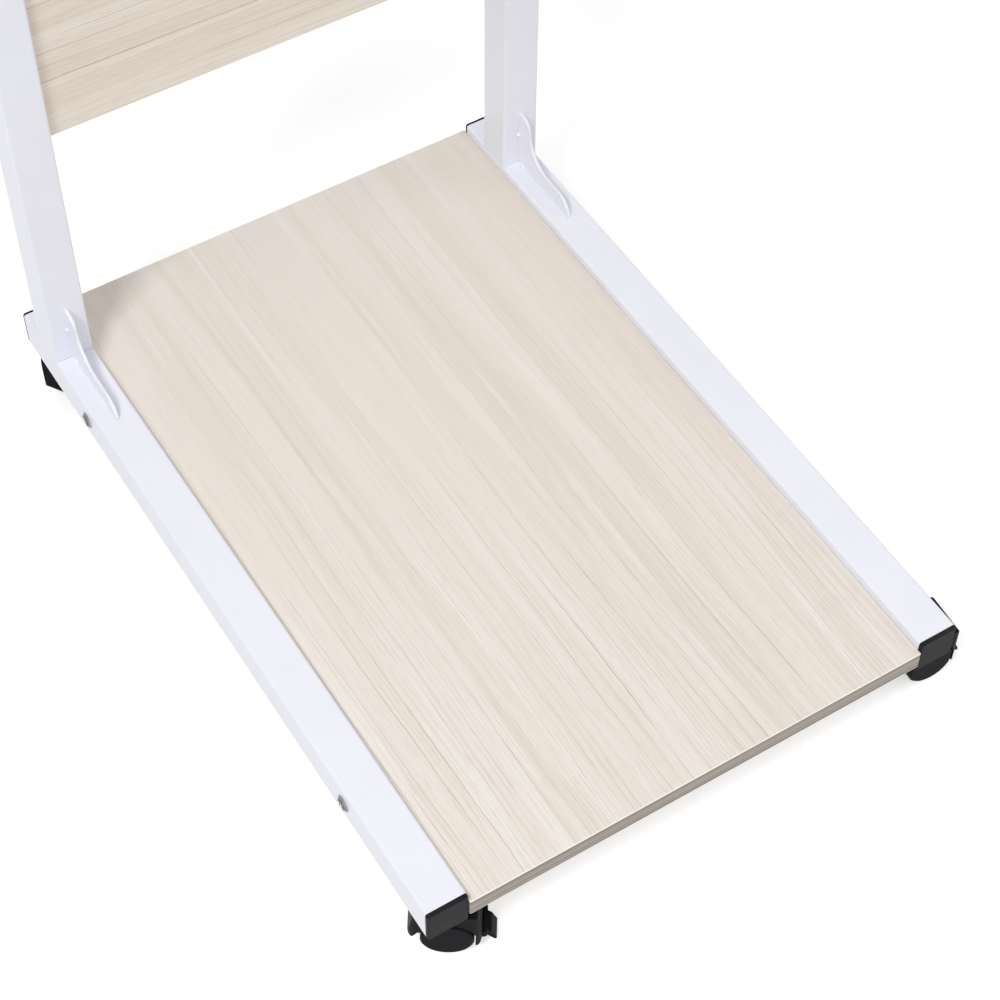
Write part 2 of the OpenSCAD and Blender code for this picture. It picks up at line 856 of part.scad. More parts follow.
// Side outline of a hood, in X and Z: a fender round the wheels that rises to a flat crown
module hood_outline() {
    crown_r = 4;
    crown_l = crown_back - crown_front;
    crown_h = hood_top - axle_z;
    reach = 3 * hood_r;
    end_r = hood_r - hood_wall / 2;
    difference() {
        union() {
            translate([trail, axle_z]) circle(hood_r);
            translate([(crown_front + crown_back) / 2, axle_z + crown_h / 2])
                round_rect(crown_l, crown_h, crown_r);
            translate([crown_front, axle_z]) square([crown_l - hood_r / 2, crown_h / 2]);
        }
        translate([trail, axle_z])
            polygon([[0, 0], reach * [cos(hood_ends[0]), sin(hood_ends[0])], [-reach, -reach],
                     [reach, -reach], reach * [cos(hood_ends[1]), sin(hood_ends[1])]]);
    }
    for (end = hood_ends)
        translate([trail + end_r * cos(end), axle_z + end_r * sin(end)]) circle(hood_wall / 2 - 0.15);
    // front wall, which leans out from the crown down to a round foot
    polygon([[crown_front, hood_top - crown_r],
             hood_foot + [-hood_foot_r, 1.5], hood_foot - [hood_foot_r, 0], hood_foot + [hood_foot_r, 0],
             [crown_front + 4.2, axle_z + 10.7]]);
    translate(hood_foot) circle(hood_foot_r - 0.05);
}

// Hood: web between the wheels, fender over them, swivel bore and axle bore
module caster_hood(c, braked) {
    plan_r = 6;
    hood_l = 2 * hood_r + hood_flare;
    color(black)
    at_caster(c) difference() {
        union() {
            intersection() {
                along_y(hood_w) hood_outline();
                translate([trail - hood_flare / 2, 0, -caster_h]) linear_extrude(2 * caster_h)
                    round_rect(hood_l, hood_w, plan_r);
            }
            translate([trail, 0, axle_z]) rotate([90, 0, 0])
                cylinder(r = axle_d / 2 + 4, h = web_w, center = true);
            if (braked)
                lever_ears();
        }
        for (side = [-1, 1])
            translate([trail, side * (web_w + caster_w) / 2, axle_z]) rotate([90, 0, 0])
                cylinder(r = wheel_r + hood_gap, h = caster_w, center = true);
        translate([0, 0, -swivel_pin_l - 2 * run_gap])
            cylinder(d = swivel_pin_d + 2 * pin_gap, h = swivel_pin_l + cut);
        translate([trail, 0, axle_z]) rotate([90, 0, 0])
            cylinder(d = axle_d + 2 * pin_gap, h = caster_w, center = true);
        if (braked) {
            translate([lever_x - lever_r - run_gap, -lever_w / 2 - run_gap, axle_z - hood_r])
                cube([hood_r, lever_w + 2 * run_gap, lever_z + lever_r + 2.5 - axle_z + hood_r]);
            lever_axis()
                cylinder(r = lever_pin_r + pin_gap, h = lever_w + 2 * (lever_ear_t + run_gap),
                         center = true);
        }
    }
}

module lever_axis() {
    translate([lever_x, 0, lever_z]) rotate([90, 0, 0]) children();
}

// Two ears at the back end of the fender, with the brake lever's bores
module lever_ears() {
    for (side = [-1, 1])
        translate([0, side * (lever_w / 2 + run_gap + lever_ear_t / 2), 0]) along_y(lever_ear_t) {
            translate([lever_x, lever_z]) circle(lever_ear_r);
            translate([trail + hood_r * 0.8, lever_z - lever_ear_r * 0.6])
                square([lever_x - trail - hood_r * 0.8, lever_ear_r * 1.6]);
        }
}

// Brake lever: a short pedal that slopes down and out from its barrel, on its own stub pins
module brake_lever(c) {
    color(black)
    at_caster(c) {
        along_y(lever_w) hull() {
            translate([lever_x, lever_z]) circle(lever_r, $fn = hull_fn);
            translate([lever_x + 4.2, lever_z - 3]) circle(1.9, $fn = hull_fn);
            translate([lever_x + 8.2, lever_z - 10.5]) circle(1, $fn = hull_fn);
        }
        lever_axis() cylinder(r = lever_pin_r, h = lever_w + 2 * lever_ear_t, center = true);
    }
}

module caster_axle(c) {
    color(zinc)
    at_caster(c) translate([trail, 0, axle_z]) rotate([90, 0, 0])
        cylinder(d = axle_d, h = caster_w - 7, center = true);
}

// Wheel: smooth disc, rim with softened tread edges, hub and ribs on the hidden side
module caster_wheel(c, side) {
    rim_t = 3.2;
    disc_t = 2.4;
    hub_r = axle_d / 2 + 2.6;
    soft = 1.2;
    ribs = 6;
    color(black)
    at_caster(c) translate([trail, side * caster_w / 2, axle_z]) rotate([side * 90, 0, 0]) difference() {
        union() {
            rotate_extrude() polygon([
                [0, disc_t], [0, 0], [wheel_r - soft, 0],
                [wheel_r, soft], [wheel_r, wheel_w - soft], [wheel_r - soft, wheel_w],
                [wheel_r - rim_t, wheel_w], [wheel_r - rim_t, disc_t]]);
            cylinder(r = hub_r, h = wheel_w);
            for (k = [0 : ribs - 1])
                rotate(k * 360 / ribs) translate([hub_r - 1, -0.8, disc_t - 0.5])
                    cube([wheel_r - rim_t - hub_r + 2, 1.6, wheel_w - disc_t - 1]);
        }
        translate([0, 0, disc_t + 0.9]) cylinder(d = axle_d + 2 * pin_gap, h = wheel_w);
    }
}

base_rail(-1);  // left_base_rail
base_rail(1);  // right_base_rail
upright(-1);  // left_upright
upright(1);  // right_upright
foot_gusset(-1);  // left_foot_gusset
foot_gusset(1);  // right_foot_gusset
base_board();
base_board_screws();
back_panel();
panel_tabs();
panel_screws();
end_plugs(-base_back, base_back, rail_z);  // rail_end_plugs
upright_collars();
weld_nuts();
caster_stems();
inner_post(-1);  // left_inner_post
inner_post(1);  // right_inner_post
inner_post_glides();
arm(-1);  // left_arm
arm(1);  // right_arm
arm_gussets();
end_plugs(arm_front, arm_back, arm_z);  // arm_end_plugs
cross_bar(bars[0]);  // front_cross_bar
cross_bar(bars[1]);  // middle_cross_bar
fixed_board();
fixed_board_screws();
hinge_frame_leaves();
hinge_pins();
tilt_bolts();
tilt_board();
hinge_board_leaves();
book_stop();
tilt_board_screws();
quadrant(bars[0]);  // front_quadrant
quadrant(bars[1]);  // rear_quadrant
height_knob(-1);  // left_height_knob
height_knob(1);  // right_height_knob
knob_stud(-1);  // left_knob_stud
knob_stud(1);  // right_knob_stud
tilt_knob(bars[0]);  // front_tilt_knob
tilt_knob(bars[1]);  // rear_tilt_knob
caster_hood(casters[0], true);  // front_left_hood
caster_axle(casters[0]);  // front_left_axle
caster_wheel(casters[0], -1);  // front_left_wheel_a
caster_wheel(casters[0], 1);  // front_left_wheel_b
brake_lever(casters[0]);  // front_left_brake
caster_hood(casters[1], true);  // front_right_hood
caster_axle(casters[1]);  // front_right_axle
caster_wheel(casters[1], -1);  // front_right_wheel_a
caster_wheel(casters[1], 1);  // front_right_wheel_b
brake_lever(casters[1]);  // front_right_brake
caster_hood(casters[2], false);  // rear_left_hood
caster_axle(casters[2]);  // rear_left_axle
caster_wheel(casters[2], -1);  // rear_left_wheel_a
caster_wheel(casters[2], 1);  // rear_left_wheel_b
caster_hood(casters[3], false);  // rear_right_hood
caster_axle(casters[3]);  // rear_right_axle
caster_wheel(casters[3], -1);  // rear_right_wheel_a
caster_wheel(casters[3], 1);  // rear_right_wheel_b
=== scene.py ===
import json

import bpy
import numpy as np
from mathutils import Matrix, Vector


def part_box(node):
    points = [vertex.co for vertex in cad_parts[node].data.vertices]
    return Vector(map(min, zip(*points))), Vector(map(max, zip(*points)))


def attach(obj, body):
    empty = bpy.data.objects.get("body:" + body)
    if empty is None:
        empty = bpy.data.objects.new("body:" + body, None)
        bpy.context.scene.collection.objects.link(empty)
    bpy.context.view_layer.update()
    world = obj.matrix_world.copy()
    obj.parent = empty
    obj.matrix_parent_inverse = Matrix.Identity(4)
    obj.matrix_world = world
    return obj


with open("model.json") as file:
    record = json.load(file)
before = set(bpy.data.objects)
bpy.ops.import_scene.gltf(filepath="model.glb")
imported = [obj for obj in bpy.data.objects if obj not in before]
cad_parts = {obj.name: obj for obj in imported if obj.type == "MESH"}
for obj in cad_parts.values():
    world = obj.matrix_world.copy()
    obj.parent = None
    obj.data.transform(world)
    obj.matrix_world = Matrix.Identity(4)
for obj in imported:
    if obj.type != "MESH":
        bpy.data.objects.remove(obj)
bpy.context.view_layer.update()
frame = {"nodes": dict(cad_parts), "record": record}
nodes = frame["nodes"]
scene = bpy.context.scene
scene.view_settings.view_transform = "Standard"
print("frame loaded:", len(nodes), "nodes")


def boxOf(name):
    # a node's lowest and highest corner in metres, to a hundredth of a millimetre
    return [[round(value, 5) for value in corner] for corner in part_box(name)]


def middleOf(name, axis):
    low, high = boxOf(name)
    return round((low[axis] + high[axis]) / 2, 5)


def halfOf(name, axis):
    low, high = boxOf(name)
    return round((high[axis] - low[axis]) / 2, 5)


# camera: its place in metres, its right, up and back directions, focal length and film width in
# millimetres, and how far it sees in metres
view = {
    "place": (-0.5398, -0.8994, 1.4020),
    "right": (0.8493274, -0.52783875, 0.00540497),
    "up": (0.41607531, 0.67572363, 0.60850547),
    "back": (-0.32484303, -0.5145715, 0.79353127),
    "lens": 86.153,
    "film": 36.0,
    "reach": 50.0,
}


def addCamera():
    # the matrix's columns are the camera's own directions and its place
    camera = bpy.data.cameras.new("camera")
    camera.sensor_width = view["film"]
    camera.sensor_fit = "HORIZONTAL"
    camera.lens = view["lens"]
    camera.clip_end = view["reach"]
    body = bpy.data.objects.new("camera", camera)
    scene.collection.objects.link(body)
    columns = [view["right"], view["up"], view["back"]]
    turn = Matrix(columns).transposed().to_4x4()
    body.matrix_world = Matrix.Translation(view["place"]) @ turn
    scene.camera = body


addCamera()
print("camera placed")

# lamps: one high key from the front left and two soft fills, each with its place and size in metres and
# its power in watts; all face one point
lamps = {
    "key": {"place": (-1.7, -1.0, 2.75), "size": (0.8, 0.8), "power": 49.5},
    "frontHigh": {"place": (0.2, -2.4, 2.0), "size": (1.8, 1.5), "power": 11.5},
    "rightHigh": {"place": (2.2, -0.6, 1.9), "size": (1.5, 1.5), "power": 10.0},
}
lampAim = (0.0, 0.0, 0.15)


def addLamp(name, spec):
    light = bpy.data.lights.new(name, "AREA")
    light.shape = "RECTANGLE"
    light.size, light.size_y = spec["size"]
    light.energy = spec["power"]
    lamp = bpy.data.objects.new(name, light)
    scene.collection.objects.link(lamp)
    away = Vector(spec["place"]) - Vector(lampAim)
    lamp.rotation_euler = away.to_track_quat("Z", "Y").to_euler()
    lamp.location = spec["place"]


graph = {"perRow": 8, "across": 220, "down": 260}  # how shader nodes stand in the editor
white = (1.0, 1.0, 1.0, 1.0)


def feed(tree, socket, value):
    # links another node's socket, or sets a plain value
    if isinstance(value, bpy.types.NodeSocket):
        tree.links.new(value, socket)
    else:
        socket.default_value = value


def put(tree, kind, feeds=None, **settings):
    # one shader node with its settings and what feeds its inputs
    node = tree.nodes.new(kind)
    for key, value in settings.items():
        setattr(node, key, value)
    for key, value in (feeds or {}).items():
        feed(tree, node.inputs[key], value)
    count = len(tree.nodes)
    node.location = (count % graph["perRow"] * graph["across"], -(count // graph["perRow"]) * graph["down"])
    return node


def newGroup(name, inputs, outputs):
    # an empty node group with named sockets: inputs hold (name, kind, value), outputs (name, kind)
    tree = bpy.data.node_groups.new(name, "ShaderNodeTree")
    for label, kind, value in inputs:
        socket = tree.interface.new_socket(name=label, in_out="INPUT", socket_type=kind)
        socket.default_value = value
    for label, kind in outputs:
        tree.interface.new_socket(name=label, in_out="OUTPUT", socket_type=kind)
    start = tree.nodes.new("NodeGroupInput")
    end = tree.nodes.new("NodeGroupOutput")
    return tree, start, end


def useGroup(tree, group, feeds):
    return put(tree, "ShaderNodeGroup", feeds, node_tree=group)


def mathNode(tree, operation, first, second=0.0, third=0.0, clamp=False):
    feeds = {0: first, 1: second, 2: third}
    return put(tree, "ShaderNodeMath", feeds, operation=operation, use_clamp=clamp).outputs[0]


def times(tree, first, second):
    return mathNode(tree, "MULTIPLY", first, second)


def timesPlus(tree, first, second, third):
    # first times second, plus third
    return mathNode(tree, "MULTIPLY_ADD", first, second, third)


def apart(tree, first, second):
    # the distance between two values
    return mathNode(tree, "ABSOLUTE", mathNode(tree, "SUBTRACT", first, second))


def joinAxes(tree, x, y, z=0.0):
    return put(tree, "ShaderNodeCombineXYZ", {0: x, 1: y, 2: z}).outputs[0]


def splitAxes(tree, vector):
    return put(tree, "ShaderNodeSeparateXYZ", {0: vector}).outputs


def noiseAt(tree, vector, stretch, detail=2.0, rough=0.5):
    # noise on a vector stretched by a factor for each direction
    scaled = put(tree, "ShaderNodeVectorMath", {0: vector, 1: stretch}, operation="MULTIPLY").outputs[0]
    feeds = {"Vector": scaled, "Scale": 1.0, "Detail": detail, "Roughness": rough}
    return put(tree, "ShaderNodeTexNoise", feeds).outputs["Fac"]


def rampAt(tree, value, low, high, outLow=0.0, outHigh=1.0):
    # smooth step from low to high
    feeds = {"Value": value, "From Min": low, "From Max": high, "To Min": outLow, "To Max": outHigh}
    return put(tree, "ShaderNodeMapRange", feeds, interpolation_type="SMOOTHSTEP").outputs[0]


def blendColour(tree, factor, first, second, mode="MIX"):
    # sockets 0, 6 and 7 of the node are the factor and the two colours, and output 2 is the blend
    node = put(tree, "ShaderNodeMix", data_type="RGBA", blend_type=mode)
    for index, value in ((0, factor), (6, first), (7, second)):
        feed(tree, node.inputs[index], value)
    return node.outputs[2]


def bumpOf(tree, height, bump, normal):
    # bump holds the strength and the distance in metres
    feeds = {"Height": height, "Strength": bump[0], "Distance": bump[1], "Normal": normal}
    return put(tree, "ShaderNodeBump", feeds).outputs[0]


def seenByEye(tree):
    # 1 for rays that show the background: camera, glossy or transmission
    path = put(tree, "ShaderNodeLightPath").outputs
    seen = mathNode(tree, "MAXIMUM", path["Is Camera Ray"], path["Is Glossy Ray"])
    return mathNode(tree, "MAXIMUM", seen, path["Is Transmission Ray"])


sky = {"light": 0.50, "seen": 1.0}  # the world's strength on the object, and as the background


def buildSky():
    # a plain world: soft light on the object, white behind it
    world = bpy.data.worlds.new("studio")
    scene.world = world
    world.use_nodes = True
    tree = world.node_tree
    tree.nodes.clear()
    soft = put(tree, "ShaderNodeBackground", {"Color": white, "Strength": sky["light"]}).outputs[0]
    bright = put(tree, "ShaderNodeBackground", {"Color": white, "Strength": sky["seen"]}).outputs[0]
    mix = put(tree, "ShaderNodeMixShader", {0: seenByEye(tree), 1: soft, 2: bright})
    put(tree, "ShaderNodeOutputWorld", {0: mix.outputs[0]})


# floor: half its width in metres, its colour, the white added near the object and far from it, and the
# distances in metres between which the one becomes the other
floor = {"half": 6.0, "colour": (0.70, 0.70, 0.70, 1.0), "lift": 0.55, "far": 1.05, "fade": (1.3, 3.0)}


def addFloor():
    # a square sheet at height 0; seen rays get a little white added, and more of it beyond the fade
    # distances from the middle, so that the far floor meets the background without a line
    half = floor["half"]
    corners = [(-half, -half, 0), (half, -half, 0), (half, half, 0), (-half, half, 0)]
    mesh = bpy.data.meshes.new("floor")
    mesh.from_pydata(corners, [], [(0, 1, 2, 3)])
    sheet = bpy.data.objects.new("floor", mesh)
    scene.collection.objects.link(sheet)
    material = bpy.data.materials.new("floorPaper")
    material.use_nodes = True
    tree = material.node_tree
    tree.nodes.clear()
    paper = put(tree, "ShaderNodeBsdfDiffuse", {"Color": floor["colour"]}).outputs[0]
    place = put(tree, "ShaderNodeTexCoord").outputs["Object"]
    away = put(tree, "ShaderNodeVectorMath", {0: place}, operation="LENGTH").outputs["Value"]
    lift = rampAt(tree, away, *floor["fade"], floor["lift"], floor["far"])
    glow = put(tree, "ShaderNodeEmission", {"Color": white, "Strength": lift}).outputs[0]
    both = put(tree, "ShaderNodeAddShader", {0: paper, 1: glow}).outputs[0]
    mix = put(tree, "ShaderNodeMixShader", {0: seenByEye(tree), 1: paper, 2: both})
    put(tree, "ShaderNodeOutputMaterial", {0: mix.outputs[0]})
    mesh.materials.append(material)


for lampName, lampSpec in lamps.items():
    addLamp(lampName, lampSpec)
buildSky()
addFloor()
print("stage and lamps ready")


laminate = {
    "base": (0.765, 0.690, 0.612, 1.0),
    "cream": (0.815, 0.757, 0.690, 1.0),
    "pink": (0.775, 0.688, 0.626, 1.0),
    "olive": (0.735, 0.682, 0.592, 1.0),
    "line": (0.470, 0.392, 0.330, 1.0),
    "streak": (0.860, 0.822, 0.775, 1.0),
    "bandLight": (0.400, 0.350, 0.288, 1.0),
    "bandDark": (0.222, 0.188, 0.152, 1.0),
    # the laminate's pale top layer at the rounded edge, brightened as a painted highlight
    "rim": (0.900, 0.880, 0.840, 1.0),
    "glue": (0.150, 0.118, 0.090, 1.0),
    "warmth": (1.000, 0.955, 0.890, 1.0),
}
# growth lines: how many in a metre, their half width in metres, how strongly they colour, how often in a
# metre they come and go, and what is added to the board's seed
growthLines = {
    "wide": {"count": 84.0, "halfWidth": 0.00023, "share": 0.86, "breaks": 5.2, "seed": 0.0},
    "fine": {"count": 330.0, "halfWidth": 0.00015, "share": 0.70, "breaks": 12.0, "seed": 4.3},
    "pale": {"count": 150.0, "halfWidth": 0.00032, "share": 0.58, "breaks": 7.0, "seed": 9.7},
}
# what all sets share: how quickly the spacing drifts and by how many lines, the step between the lines'
# own noises, these noises' detail, roughness and levels, and the edges of a thin line and of its soft flank
# in half widths
lineForm = {
    "driftRate": 0.23, "drift": 3.2, "step": 7.31, "own": (3.0, 0.6), "power": (0.38, 0.62),
    "thin": (1.5, 0.4), "soft": (8.0, 0.0),
}
# how the lines wander: the noises' detail, each bend's changes in a metre along and across and the seed's
# part, and its reach in metres
bendDetail = 1.5
printBends = [
    ((1.1, 6.0, 1.0), 0.034),
    ((5.0, 22.0, 1.0), 0.0085),
    ((45.0, 130.0, 1.0), 0.0012),
    ((130.0, 300.0, 1.0), 0.0008),
    ((420.0, 500.0, 1.0), 0.0003),
]
# noises of the print: changes in a metre along and across and the seed's part, then detail and roughness
printNoise = {
    "cluster": ((1.6, 24.0, 1.0), 2.0, 0.5),
    "hair": ((8.0, 1050.0, 1.0), 2.5, 0.6),
    "paleBand": ((3.2, 58.0, 1.0), 3.0, 0.62),
    "pore": ((42.0, 1500.0, 1.0), 1.0, 0.5),
    "dusk": ((3.0, 240.0, 1.0), 3.0, 0.6),
    "broad": ((1.2, 30.0, 1.0), 2.0, 0.5),
    "tint": ((1.3, 19.0, 3.0), 1.5, 0.5),
}
# marks made from them: the noise, the levels where the mark sets in and is full, and its least and most
printMarks = {
    "cluster": ("cluster", 0.42, 0.62, 0.0, 1.0),
    "paleBand": ("paleBand", 0.50, 0.64, 0.0, 1.0),
    "paleHair": ("hair", 0.50, 0.66, 0.0, 1.0),
    "darkHair": ("hair", 0.47, 0.33, 0.0, 1.0),
    "pore": ("pore", 0.63, 0.70, 0.0, 1.0),
    "dusk": ("dusk", 0.46, 0.30, 0.0, 1.0),
    "cream": ("broad", 0.34, 0.66, 0.0, 1.0),
    "pink": ("tint", 0.54, 0.74, 0.0, 0.60),
    "olive": ("tint", 0.46, 0.26, 0.0, 0.45),
}
# how strongly the marks and the growth lines' flanks colour
markShare = {"dusk": 0.10, "darkHair": 0.22, "paleHair": 0.62, "flank": 0.07, "pore": 0.30}
# strengths that grow with another mask: the factor on the mask, and what is added
growing = {"paleHair": (0.7, 0.3), "paleBand": (0.32, 0.16), "paleLine": (0.4, 0.6)}


def lineSet(tree, spec, bend, along, seed):
    # lines at the whole numbers of phase = bend * count + irregular drift; each keeps its own strength,
    # which comes and goes along its length
    count, reach = spec["count"], spec["halfWidth"] * spec["count"]
    seed = mathNode(tree, "ADD", seed, spec["seed"])
    drift = noiseAt(tree, joinAxes(tree, bend, seed), (count * lineForm["driftRate"], 1.0, 1.0))
    phase = timesPlus(tree, drift, lineForm["drift"], times(tree, bend, count))
    number = mathNode(tree, "ROUND", phase)
    off = apart(tree, phase, number)
    own = joinAxes(tree, along, times(tree, number, lineForm["step"]), seed)
    power = noiseAt(tree, own, (spec["breaks"], 1.0, 1.0), *lineForm["own"])
    power = rampAt(tree, power, *lineForm["power"])
    thin, soft = (rampAt(tree, off, *(reach * edge for edge in lineForm[k])) for k in ("thin", "soft"))
    return times(tree, thin, power), times(tree, soft, power)


def buildGrainGroup():
    # pale oak print: sets of thin dark and pale growth lines follow the width, bent by slow and quick noise,
    # over broad tints and pale streaks; Crisp says how strong the finest marks are
    tree, start, end = newGroup("oakPrint", [
        ("Along", "NodeSocketFloat", 0.0), ("Across", "NodeSocketFloat", 0.0),
        ("Seed", "NodeSocketFloat", 0.0), ("Crisp", "NodeSocketFloat", 1.0),
    ], [("Color", "NodeSocketColor"), ("Lines", "NodeSocketFloat"), ("Pores", "NodeSocketFloat")])
    along, across, seed, crisp = (start.outputs[k] for k in ("Along", "Across", "Seed", "Crisp"))
    flat = joinAxes(tree, along, across, seed)
    bend = across
    for stretch, reach in printBends:
        bend = timesPlus(tree, noiseAt(tree, flat, stretch, bendDetail), reach, bend)
    bent = joinAxes(tree, along, bend, seed)
    noises = {name: noiseAt(tree, bent, *spec) for name, spec in printNoise.items()}
    mark = {name: rampAt(tree, noises[spec[0]], *spec[1:]) for name, spec in printMarks.items()}
    wide, flank = lineSet(tree, growthLines["wide"], bend, along, seed)
    fine = times(tree, lineSet(tree, growthLines["fine"], bend, along, seed)[0], mark["cluster"])
    pale = lineSet(tree, growthLines["pale"], bend, along, seed)[0]
    finePores = times(tree, fine, crisp)
    paleLine = times(tree, pale, timesPlus(tree, crisp, *growing["paleLine"]))
    layers = [
        (mark["pink"], 1.0, "pink"),
        (mark["olive"], 1.0, "olive"),
        (times(tree, mark["paleBand"], timesPlus(tree, crisp, *growing["paleBand"])), 1.0, "streak"),
        (mark["dusk"], markShare["dusk"], "line"),
        (times(tree, mark["darkHair"], crisp), markShare["darkHair"], "line"),
        (times(tree, mark["paleHair"], timesPlus(tree, mark["paleBand"], *growing["paleHair"])),
         markShare["paleHair"], "streak"),
        (flank, markShare["flank"], "line"),
        (paleLine, growthLines["pale"]["share"], "streak"),
        (times(tree, mark["pore"], crisp), markShare["pore"], "line"),
        (finePores, growthLines["fine"]["share"], "line"),
        (times(tree, wide, crisp), growthLines["wide"]["share"], "line"),
    ]
    colour = blendColour(tree, mark["cream"], laminate["base"], laminate["cream"])
    for mask, share, paint in layers:
        colour = blendColour(tree, times(tree, mask, share), colour, laminate[paint])
    tree.links.new(colour, end.inputs["Color"])
    tree.links.new(mathNode(tree, "MAXIMUM", wide, fine), end.inputs["Lines"])
    tree.links.new(finePores, end.inputs["Pores"])
    return tree


# skin close up: the mottle's noise, the texture's detail, and a speck's edge as a share of its cell
skinForm = {"mottle": ((14.0, 14.0, 14.0), 4.0, 0.6), "detail": 2.0, "speck": (0.22, 0.08)}


def buildSkinGroup():
    # surface of paint or moulded plastic: slow mottle, fine texture for bump, and scattered specks
    tree, start, end = newGroup("fineSkin", [
        ("Vector", "NodeSocketVector", (0.0, 0.0, 0.0)), ("Grain Size", "NodeSocketFloat", 0.001),
        ("Speck Size", "NodeSocketFloat", 0.004), ("Speck Share", "NodeSocketFloat", 0.1),
    ], [("Mottle", "NodeSocketFloat"), ("Texture", "NodeSocketFloat"), ("Specks", "NodeSocketFloat")])
    vector = start.outputs["Vector"]
    perGrain = mathNode(tree, "DIVIDE", 1.0, start.outputs["Grain Size"])
    perSpeck = mathNode(tree, "DIVIDE", 1.0, start.outputs["Speck Size"])
    feeds = {"Vector": vector, "Scale": perGrain, "Detail": skinForm["detail"]}
    texture = put(tree, "ShaderNodeTexNoise", feeds).outputs["Fac"]
    cells = put(tree, "ShaderNodeTexVoronoi", {"Vector": vector, "Scale": perSpeck}).outputs
    near = rampAt(tree, cells["Distance"], *skinForm["speck"])
    pick = put(tree, "ShaderNodeSeparateColor", {0: cells["Color"]}).outputs[0]
    kept = mathNode(tree, "LESS_THAN", pick, start.outputs["Speck Share"])
    tree.links.new(noiseAt(tree, vector, *skinForm["mottle"]), end.inputs["Mottle"])
    tree.links.new(texture, end.inputs["Texture"])
    tree.links.new(times(tree, near, kept), end.inputs["Specks"])
    return tree


# rubbed edges: the bevel's samples, how far the rounded normal leans where the wear sets in and is full, and
# the noise and levels that break it up
rubForm = {
    "samples": 4, "lean": (0.995, 0.80), "noise": ((70.0, 70.0, 70.0), 4.0, 0.65), "patch": (0.40, 0.66),
}


def buildRubGroup():
    # rubbed edges: how far the rounded normal leans from the true one, broken up by noise
    tree, start, end = newGroup("edgeRub", [
        ("Vector", "NodeSocketVector", (0.0, 0.0, 0.0)), ("Reach", "NodeSocketFloat", 0.001),
        ("Amount", "NodeSocketFloat", 0.5),
    ], [("Mask", "NodeSocketFloat"), ("Round Normal", "NodeSocketVector")])
    reach = {"Radius": start.outputs["Reach"]}
    soft = put(tree, "ShaderNodeBevel", reach, samples=rubForm["samples"]).outputs[0]
    true = put(tree, "ShaderNodeNewGeometry").outputs["Normal"]
    lean = put(tree, "ShaderNodeVectorMath", {0: soft, 1: true}, operation="DOT_PRODUCT").outputs["Value"]
    patch = rampAt(tree, noiseAt(tree, start.outputs["Vector"], *rubForm["noise"]), *rubForm["patch"])
    mask = times(tree, rampAt(tree, lean, *rubForm["lean"]), patch)
    mask = mathNode(tree, "MULTIPLY", mask, start.outputs["Amount"], clamp=True)
    tree.links.new(mask, end.inputs["Mask"])
    tree.links.new(soft, end.inputs["Round Normal"])
    return tree


oakPrint = buildGrainGroup()
fineSkin = buildSkinGroup()
edgeRub = buildRubGroup()
print("shared effects ready")


def startMaterial(name):
    # a fresh material with its surface shader; returns the tree, the shader and the object coordinates
    material = bpy.data.materials.new(name)
    material.use_nodes = True
    tree = material.node_tree
    tree.nodes.clear()
    shader = put(tree, "ShaderNodeBsdfPrincipled")
    put(tree, "ShaderNodeOutputMaterial", {0: shader.outputs[0]})
    place = put(tree, "ShaderNodeTexCoord").outputs
    return material, tree, shader, place


def addSkin(tree, place, spec):
    feeds = {"Vector": place["Object"], "Grain Size": spec["grainSize"], "Speck Size": spec["speckSize"],
             "Speck Share": spec["speckShare"]}
    return useGroup(tree, fineSkin, feeds).outputs


def addRub(tree, place, spec):
    feeds = {"Vector": place["Object"], "Reach": spec["edge"], "Amount": spec["rubbed"]}
    return useGroup(tree, edgeRub, feeds).outputs


def joinTo(tree, shader, **feeds):
    names = {"colour": "Base Color", "rough": "Roughness", "normal": "Normal", "metal": "Metallic",
             "shine": "Specular IOR Level", "coat": "Coat Weight", "coatRough": "Coat Roughness"}
    for key, value in feeds.items():
        feed(tree, shader.inputs[names[key]], value)


# boards: the axes along the print, across it and through the board, a seed, the node that is measured, the
# share of warmth, and where along the board the print goes from its least to its most crisp, and these two
boards = {
    "oakShelf": {"axes": (1, 0, 2), "seed": 3.7, "sample": "base_board", "warm": 0.0,
                 "crisp": (0.12, -0.26, 0.20, 1.0)},
    "oakPanel": {"axes": (0, 2, 1), "seed": 8.2, "sample": "back_panel", "warm": 0.5,
                 "crisp": (0.17, -0.17, 0.70, 1.0)},
    "oakTop": {"axes": (1, 0, 2), "seed": 5.1, "sample": "tilt_board", "warm": 0.2,
               "crisp": (0.30, -0.30, 0.60, 0.9)},
}
# how far the normal points through the board, on the edge band and on the rounded rim beside it
facing = {"band": (0.35, 0.30), "rimStart": (0.30, 0.35), "rimEnd": (0.98, 0.93)}
# edge band: its two noises, their levels, the glue line's depth below the face and its half widths, and
# the depths between which the pale lip ends, in metres; the lip and the rounded rim are the laminate's pale
# top layer, brightened as a painted highlight
edgeBand = {
    "wideNoise": ((2.0, 430.0, 1.0), 2.0, 0.5), "fineNoise": ((4.0, 1500.0, 1.0), 2.0, 0.5),
    "stripes": (0.36, 0.62), "dark": (0.54, 0.64, 0.0, 0.6), "light": (0.42, 0.32, 0.0, 0.5),
    "glueDepth": 0.0019, "glue": (0.0007, 0.0003, 0.0, 0.75), "lip": (0.0013, 0.0009), "lipShare": 0.9,
    "rimShare": 0.85,
}
# board finish: sizes in metres, roughness and what lines and mottle add to it, and the depths of the bump
boardFinish = {
    "grainSize": 0.0009, "speckSize": 0.03, "speckShare": 0.0, "edge": 0.0006, "rubbed": 0.0,
    "rough": 0.40, "lineRough": 0.10, "mottleRough": 0.10,
    "poreDepth": -1.0, "lineDepth": -0.6, "textureDepth": 0.25, "bump": (0.35, 0.00008),
}


